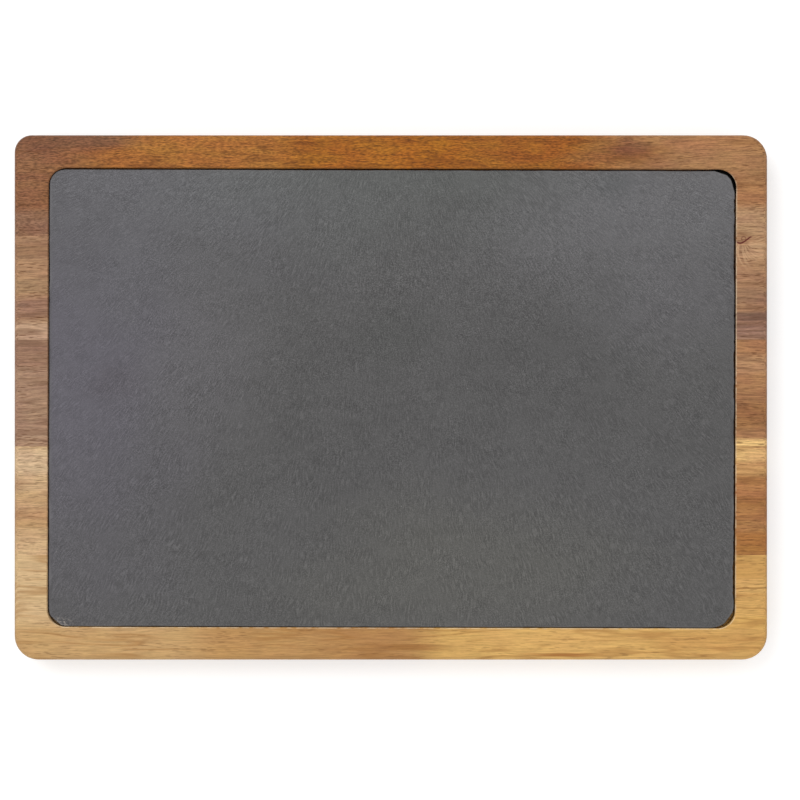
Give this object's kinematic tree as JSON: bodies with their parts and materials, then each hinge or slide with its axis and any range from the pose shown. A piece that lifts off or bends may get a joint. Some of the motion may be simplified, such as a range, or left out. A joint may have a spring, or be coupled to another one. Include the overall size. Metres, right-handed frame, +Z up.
{
  "type": "slate serving board",
  "caption": "Flat rectangular serving board of edge-glued acacia staves with a lift-out slate panel in a milled recess, standing on low rubber feet.",
  "frame": {"origin": "centre of the board's footprint, on the plane that its feet stand on", "axes": "+X along the grain to the board's right end, +Y towards its back edge, +Z up through the slate"},
  "size_m": [0.33, 0.23, 0.018],
  "materials": {
    "back_edge_acacia": "oiled orange-brown acacia",
    "back_inner_acacia": "oiled tan acacia",
    "centre_acacia": "oiled mid-brown acacia",
    "front_inner_acacia": "oiled pale acacia with sapwood",
    "front_edge_acacia": "oiled golden acacia",
    "slate": "riven and matt, with its upper edge dressed",
    "foot_rubber": "matt moulded rubber"
  },
  "bodies": {
    "board": {"back_edge_stave": "back_edge_acacia", "back_inner_stave": "back_inner_acacia", "centre_stave": "centre_acacia", "front_inner_stave": "front_inner_acacia", "front_edge_stave": "front_edge_acacia", "foot_back_left": "foot_rubber", "foot_back_right": "foot_rubber", "foot_front_left": "foot_rubber", "foot_front_right": "foot_rubber"},
    "slate": {"slate_panel": "slate"}
  },
  "joints": [
    {"name": "slate_lift", "type": "slide", "parent": "board", "child": "slate", "axis": [0, 0, 1], "range_m": [0, 0.03]}
  ]
}
